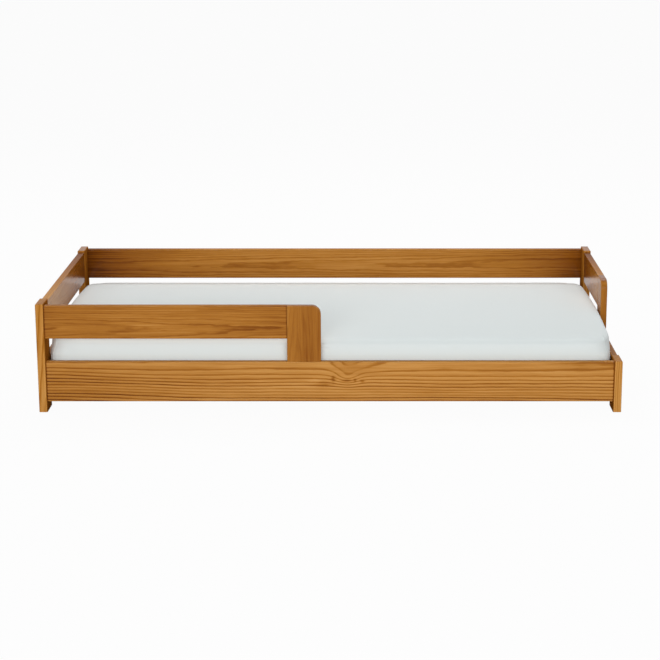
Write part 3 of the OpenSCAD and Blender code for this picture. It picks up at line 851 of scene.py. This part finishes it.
def wrinkle(point):
    """How far the sheet stands out here: faint folds from the corners, with slow waves between."""
    x, y, _ = point
    from_x, from_y = HALF_L - 0.02 - abs(x), HALF_W - 0.02 - abs(y)
    reach = hypot(from_x, from_y)
    turn = atan2(from_y, from_x) + 0.35 * copysign(1, x) + 0.2 * copysign(1, y)
    fold = sin(9 * turn + 14 * reach) * exp(-reach / FOLD_REACH) * ramp(reach, 0.0, 0.04)
    calm = (sin(9.1 * x + 4.0 * y) + sin(-6.3 * x + 17.0 * y + 1.0)) * 0.5
    return FOLD_H * fold + CALM_H * calm


def gather(point):
    """How far the elastic's pleats lift the border under the mattress."""
    x, y, _ = point
    run = y if HALF_L - abs(x) < HALF_W - abs(y) else x
    near = ramp(inset_of(x, y), 0.035, BORDER - 0.01)
    pleat = run * 2 * pi / GATHER_PITCH + 1.7 * sin(31 * run)
    return GATHER_H * near * (0.5 + 0.5 * sin(pleat))


def resampled(marks, step):
    """Places a step or less apart on the line through the marks."""
    places = []
    for a, b in zip(marks, marks[1:]):
        count = max(1, round((b - a).length / step))
        places += [a.lerp(b, k / count) for k in range(count)]
    return places + [marks[-1]]


def eased(values, closed=False):
    """The values, each drawn halfway to the mean of its neighbours, but for the ends of an open row."""
    last = len(values) - 1
    return [value if not closed and k in (0, last)
            else value / 2 + (values[k - 1] + values[(k + 1) % len(values)]) / 4
            for k, value in enumerate(values)]


class Station:
    """A place on a sewn line, the line's direction, its side and the way out of the cloth."""

    def __init__(self, place, along, out):
        self.place, self.along = place, along.normalized()
        self.side = out.cross(along).normalized()
        self.out = self.along.cross(self.side)


def seam_line(surface, marks):
    """Stations down a corner of the sheet, on its surface."""
    places = resampled([Vector(mark) for mark in marks], SEAM_STEP)
    hits = [surface.find_nearest(place) for place in places]
    places, outs = [hit[0] for hit in hits], [hit[1] for hit in hits]
    for _ in range(SEAM_EASINGS):
        places, outs = eased(places), eased(outs)
    places = [surface.find_nearest(place)[0] for place in places]
    ahead = places[1:] + [places[-1] * 2 - places[-2]]
    back = [places[0] * 2 - places[1]] + places[:-1]
    return [Station(place, b - a, out) for place, a, b, out in zip(places, back, ahead, outs)]


def hem_line(sheet):
    """Stations round the sheet's opening, clockwise as seen from above."""
    rim, uses = {}, {}
    for polygon in sheet.data.polygons:
        for edge in polygon.edge_keys:
            uses[edge] = uses.get(edge, 0) + 1
    for a, b in (edge for edge, count in uses.items() if count == 1):
        rim.setdefault(a, []).append(b)
        rim.setdefault(b, []).append(a)
    start = min(rim)
    order = [start, rim[start][0]]
    while order[-1] != start:
        order.append(next(n for n in rim[order[-1]] if n != order[-2]))
    marks = [Vector((*sheet.data.vertices[i].co.xy, UNDERSIDE + HEM_Z)) for i in order]
    if sum(a.x * b.y - a.y * b.x for a, b in zip(marks, marks[1:])) > 0:
        marks.reverse()
    places = resampled(marks, SEAM_STEP)[:-1]
    for _ in range(HEM_EASINGS):
        places = eased(places, closed=True)
    return [Station(place, places[(k + 1) % len(places)] - places[k - 1], Vector((0, 0, -1)))
            for k, place in enumerate(places)]


def swept(name, lines, section, closed):
    """A band along each line. section gives its outline, as offsets to the side and out, from the
    length so far. Its own coordinates are metres along and round it."""
    points, faces, places = [], [], []
    for stations in lines:
        first, run, runs = len(points), 0.0, []
        for k, station in enumerate(stations):
            run += (station.place - stations[k - 1].place).length if k else 0.0
            runs.append(run)
            points += [station.place + station.side * s + station.out * o for s, o in section(run)]
        sides = len(section(0.0))
        runs.append(run + SEAM_STEP)
        rings = [[first + k * sides + j for j in range(sides)] for k in range(len(stations))]
        rings += rings[:1] if closed else []
        for k, (here, there) in enumerate(zip(rings, rings[1:])):
            faces += walls(here, there)
            for j in range(sides):
                places += [(runs[k], j * AROUND), (runs[k + 1], j * AROUND),
                           (runs[k + 1], (j + 1) * AROUND), (runs[k], (j + 1) * AROUND)]
        if not closed:
            faces += [tuple(rings[0]), tuple(rings[-1])]
            places += [(AROUND * j, 0.0) for j in range(2 * sides)]
    mesh = mesh_of(name, [(p.x, p.y, max(p.z, UNDERSIDE - SEAM_SUNK)) for p in points], faces, places)
    solid = bmesh.new()
    solid.from_mesh(mesh)
    bmesh.ops.recalc_face_normals(solid, faces=solid.faces)
    written(solid, mesh).shade_smooth()
    return linked(name, mesh)


def oval(width, height, sides=8):
    return [(width / 2 * cos(2 * pi * k / sides), height / 2 * sin(2 * pi * k / sides))
            for k in range(sides)]


def stitch_sites(stations, aside, above, pitch):
    """Places beside a sewn line for stitches that lie along it, every pitch."""
    sites, run = [], 0.0
    for before, station in zip(stations, stations[1:]):
        run += (station.place - before.place).length
        if run >= pitch:
            run -= pitch
            turn = Matrix((station.along, station.side, station.out)).transposed().to_euler()
            place = station.place + station.side * aside + station.out * above
            sites.append((tuple(place), tuple(turn)))
    return sites


def stitch_shape():
    """A slim bead along X: three rings of six points, and a pole above and below them."""
    points = [(0, 0, STITCH_R)]
    for tilt in (pi / 4, 0, -pi / 4):
        for turn in [pi * (k + 0.5) / 3 for k in range(6)]:
            x, y = STITCH_L / 2 * cos(turn), STITCH_R * sin(turn)
            points.append((x * cos(tilt), y * cos(tilt), STITCH_R * sin(tilt)))
    points.append((0, 0, -STITCH_R))
    high, middle, low = [list(range(first, first + 6)) for first in (1, 7, 13)]
    faces = walls(high, middle) + walls(middle, low)
    faces += [(0, a, b) for a, b in closed_pairs(high)] + [(19, b, a) for a, b in closed_pairs(low)]
    return linked("stitch", mesh_of("stitch", points, faces))


def sew_details(sheet, seams):
    """The elastic hem, the corner seams, and the stitches along both."""
    form = bmesh.new()
    form.from_mesh(sheet.data)
    surface = BVHTree.FromBMesh(form)
    form.free()
    lines = [seam_line(surface, marks) for marks in seams]
    hem = hem_line(sheet)

    def pleated(run):
        """The hem's outline, drawn up in small pleats."""
        lift = PLEAT_H * sin(2 * pi * run / PLEAT + 1.3 * sin(37 * run))
        return [(HEM_IN + s, o + lift) for s, o in oval(HEM_W + 2 * lift, HEM_T)]

    elastic = swept("elastic_hem", [hem], pleated, closed=True)
    ridges = swept("corner_seams", lines, lambda run: oval(SEAM_W, SEAM_T), closed=False)
    sites = stitch_sites(hem, HEM_IN, HEM_T / 2, HEM_STITCH_PITCH)
    for line in lines:
        for aside in (-STITCH_ASIDE, STITCH_ASIDE):
            sites += stitch_sites(line, aside, 0.0, STITCH_PITCH)
    stitches = set_in_place("seam_stitches", stitch_shape(), sites, white_thread(), STITCH_TURN, sharp=180)
    return elastic, ridges, stitches


def build_mattress():
    points, cloth, faces, corners = mattress_form(SLACK)
    points = filled(points, cloth, faces)
    points = inside_bed(points)

    foam = cloth_piece("mattress_foam", points, cloth, faces, panelled=True)
    for vertex, normal in [(v, v.normal.copy()) for v in foam.data.vertices]:
        vertex.co -= normal * FOAM_INSET
        vertex.co.z = max(vertex.co.z, UNDERSIDE + FOAM_LIFT)
    settle(foam)

    reach = SIDE_H + BORDER + PAST_BORDER
    kept = [face for face in faces if all(cloth[i][2] <= reach for i in face)]
    used = sorted({i for face in kept for i in face})
    new_place = {old: new for new, old in enumerate(used)}
    sheet = cloth_piece("fitted_sheet", [points[i] for i in used], [cloth[i] for i in used],
                        [tuple(new_place[i] for i in face) for face in kept])
    finer = sheet.modifiers.new("finer", "SUBSURF")
    finer.levels = finer.render_levels = 1
    settle(sheet)
    for vertex, normal in [(v, v.normal.copy()) for v in sheet.data.vertices]:
        if vertex.co.z > UNDERSIDE + WRINKLED_FROM:
            vertex.co += normal * wrinkle(vertex.co)
        else:
            vertex.co.z = max(UNDERSIDE, vertex.co.z) + gather(vertex.co)
    seams = [[points[i] for i in row if cloth[i][2] <= reach] for row in corners]
    details = sew_details(sheet, seams)
    wall = sheet.modifiers.new("cloth", "SOLIDIFY")
    wall.thickness, wall.offset = CLOTH_T, -1
    settle(sheet)
    return foam, sheet, details


def threads(net, pitch):
    """The height of a plain weave, from -1 to 1, its slubs, and the cloth's own coordinates."""
    u, v = net.split(net.add("ShaderNodeUVMap", uv_map="cloth"))[:2]
    turn = pi / pitch
    weave = (u * turn).wave() * (v * turn).wave()
    across, along = [net.noise(net.vector(u * u_count, v * v_count, layer), 2.0)
                     for u_count, v_count, layer in ((14, 900, 0.0), (900, 14, 3.0))]
    return weave, across + along - 1.0, u, v


def white_cotton():
    net = new_material("white_percale")
    weave, slubs, u, v = threads(net, COTTON_PITCH)
    soft = net.noise(net.vector(u * 5, v * 5, 0.0), 2.0) - 0.5
    shade = slubs * 0.10 + weave * 0.015 + soft * 0.05 + 0.5
    colour = net.mix(shade, (0.740, 0.800, 0.795), (0.845, 0.900, 0.895))
    return finish_with(net, Base_Color=colour, Roughness=0.88, Specular_IOR_Level=0.2, Sheen_Weight=0.55,
                       Sheen_Roughness=0.35, Normal=net.bump(weave * 0.5 + slubs * 0.8, 0.0001, 0.7))


def white_thread():
    net = new_material("white_thread")
    ply = net.speckle((2500, 2500, 2500), 2.0)
    colour = net.mix(ply, (0.70, 0.74, 0.74), (0.88, 0.92, 0.91))
    return finish_with(net, Base_Color=colour, Roughness=0.7, Specular_IOR_Level=0.3,
                       Normal=net.bump(ply, 0.00005, 0.6))


def knitted_ticking():
    net = new_material("knitted_ticking")
    weave, slubs, u, v = threads(net, TICKING_PITCH)
    turn = pi / DIAMOND
    diamond = (((u + v) * turn).wave() * ((u - v) * turn).wave()).size().rise(0.02, 0.16)
    height = diamond * 1.5 + weave * 0.25 + slubs * 0.3
    colour = net.mix(diamond, (0.66, 0.68, 0.68), (0.84, 0.84, 0.82))
    return finish_with(net, Base_Color=colour, Roughness=0.9, Specular_IOR_Level=0.2, Sheen_Weight=0.1,
                       Normal=net.bump(height, 0.0005, 0.8))


def dress_mattress():
    foam, sheet, details = build_mattress()
    foam.data.materials.append(knitted_ticking())
    cotton = white_cotton()
    for thing in (sheet, *details[:2]):
        thing.data.materials.append(cotton)
    for thing in (foam, sheet, *details):
        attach(thing, "mattress")
    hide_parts("mattress")


# Studio

def close_with(net, output, lit, seen):
    """Closes a tree with the shader that throws light, and the one for what the camera, a gloss or a
    glass looks at."""
    looks = [net.add("ShaderNodeLightPath", out=name)
             for name in ("Is Camera Ray", "Is Glossy Ray", "Is Transmission Ray")]
    both = net.add("ShaderNodeMixShader", {0: looks[0].most(looks[1]).most(looks[2]), 1: lit, 2: seen})
    net.add(output, {"Surface": both})


# How far the floor lies under the feet, so that no faces share one place, its half width, and the
# share of it that shows plain white, for its shadows to stay faint
FLOOR_GAP, FLOOR_REACH, FLOOR_WHITE = 0.0001, 60.0, 0.96
# Strength of the light from all round, and the height that the lamps face
FILL_LIGHT, LAMP_AIM = 0.20, 0.15
# The camera's place, angle from straight down in degrees, focal length and sensor in millimetres,
# and shift, as solved from the posts' and rails' edges
CAMERA_PLACE, CAMERA_TILT = (0.087, -4.712, 1.350), 77.01
LENS, SENSOR, SHIFT = 92.45, 36.0, (-0.0498, -0.0691)


def build_floor():
    sides = ((-1, -1), (1, -1), (1, 1), (-1, 1))
    corners = [(x * FLOOR_REACH, y * FLOOR_REACH, -FLOOR_GAP) for x, y in sides]
    floor = linked("studio_floor", mesh_of("studio_floor", corners, [(0, 1, 2, 3)]))
    net = new_material("studio_white")
    paint = net.add("ShaderNodeBsdfDiffuse", {"Color": (0.70, 0.70, 0.70)})
    glow = net.add("ShaderNodeEmission", {"Color": (1, 1, 1), "Strength": 1.0})
    seen = net.add("ShaderNodeMixShader", {0: FLOOR_WHITE, 1: paint, 2: glow})
    close_with(net, "ShaderNodeOutputMaterial", paint, seen)
    floor.data.materials.append(net.owner)


def build_world():
    world = bpy.data.worlds.new("studio")
    bpy.context.scene.world = world
    world.use_nodes = True
    net = Net(world.node_tree)
    fill = net.add("ShaderNodeBackground", {"Color": (1, 1, 1), "Strength": FILL_LIGHT})
    white = net.add("ShaderNodeBackground", {"Color": (1, 1, 1), "Strength": 1.0})
    close_with(net, "ShaderNodeOutputWorld", fill, white)


def softbox(name, azimuth, elevation, distance, width, height, level):
    """An area lamp that faces the bed. level is its light on a surface square to it."""
    a, e = radians(azimuth), radians(elevation)
    aim = Vector((0, 0, LAMP_AIM))
    back = Vector((sin(a) * cos(e), -cos(a) * cos(e), sin(e)))
    lamp = bpy.data.lights.new(name, "AREA")
    lamp.shape, lamp.size, lamp.size_y = "RECTANGLE", width, height
    lamp.energy = level * pi ** 2 * distance ** 2
    holder = linked(name, lamp)
    holder.location = aim + back * distance
    holder.rotation_euler = (-back).to_track_quat("-Z", "Y").to_euler()
    holder.visible_camera = False


def build_lights():
    softbox("softbox_front", azimuth=0, elevation=14, distance=5.2, width=5.6, height=1.8, level=0.64)
    softbox("softbox_back", azimuth=180, elevation=60, distance=4.0, width=4.0, height=2.0, level=0.72)


def build_camera():
    lens = bpy.data.cameras.new("camera")
    lens.sensor_width, lens.lens = SENSOR, LENS
    lens.shift_x, lens.shift_y = SHIFT
    lens.clip_start, lens.clip_end = 0.1, 300.0
    camera = linked("camera", lens)
    camera.location = CAMERA_PLACE
    camera.rotation_euler = (radians(CAMERA_TILT), 0, 0)
    bpy.context.scene.camera = camera
    bpy.context.scene.view_settings.view_transform = "Standard"


build_camera()
build_world()
build_floor()
build_lights()
dress_boards()
set_fasteners()
for dowels in ("end_rail_dowels", "stile_dowels"):
    dress(dowels, bare_beech())

dress_mattress()
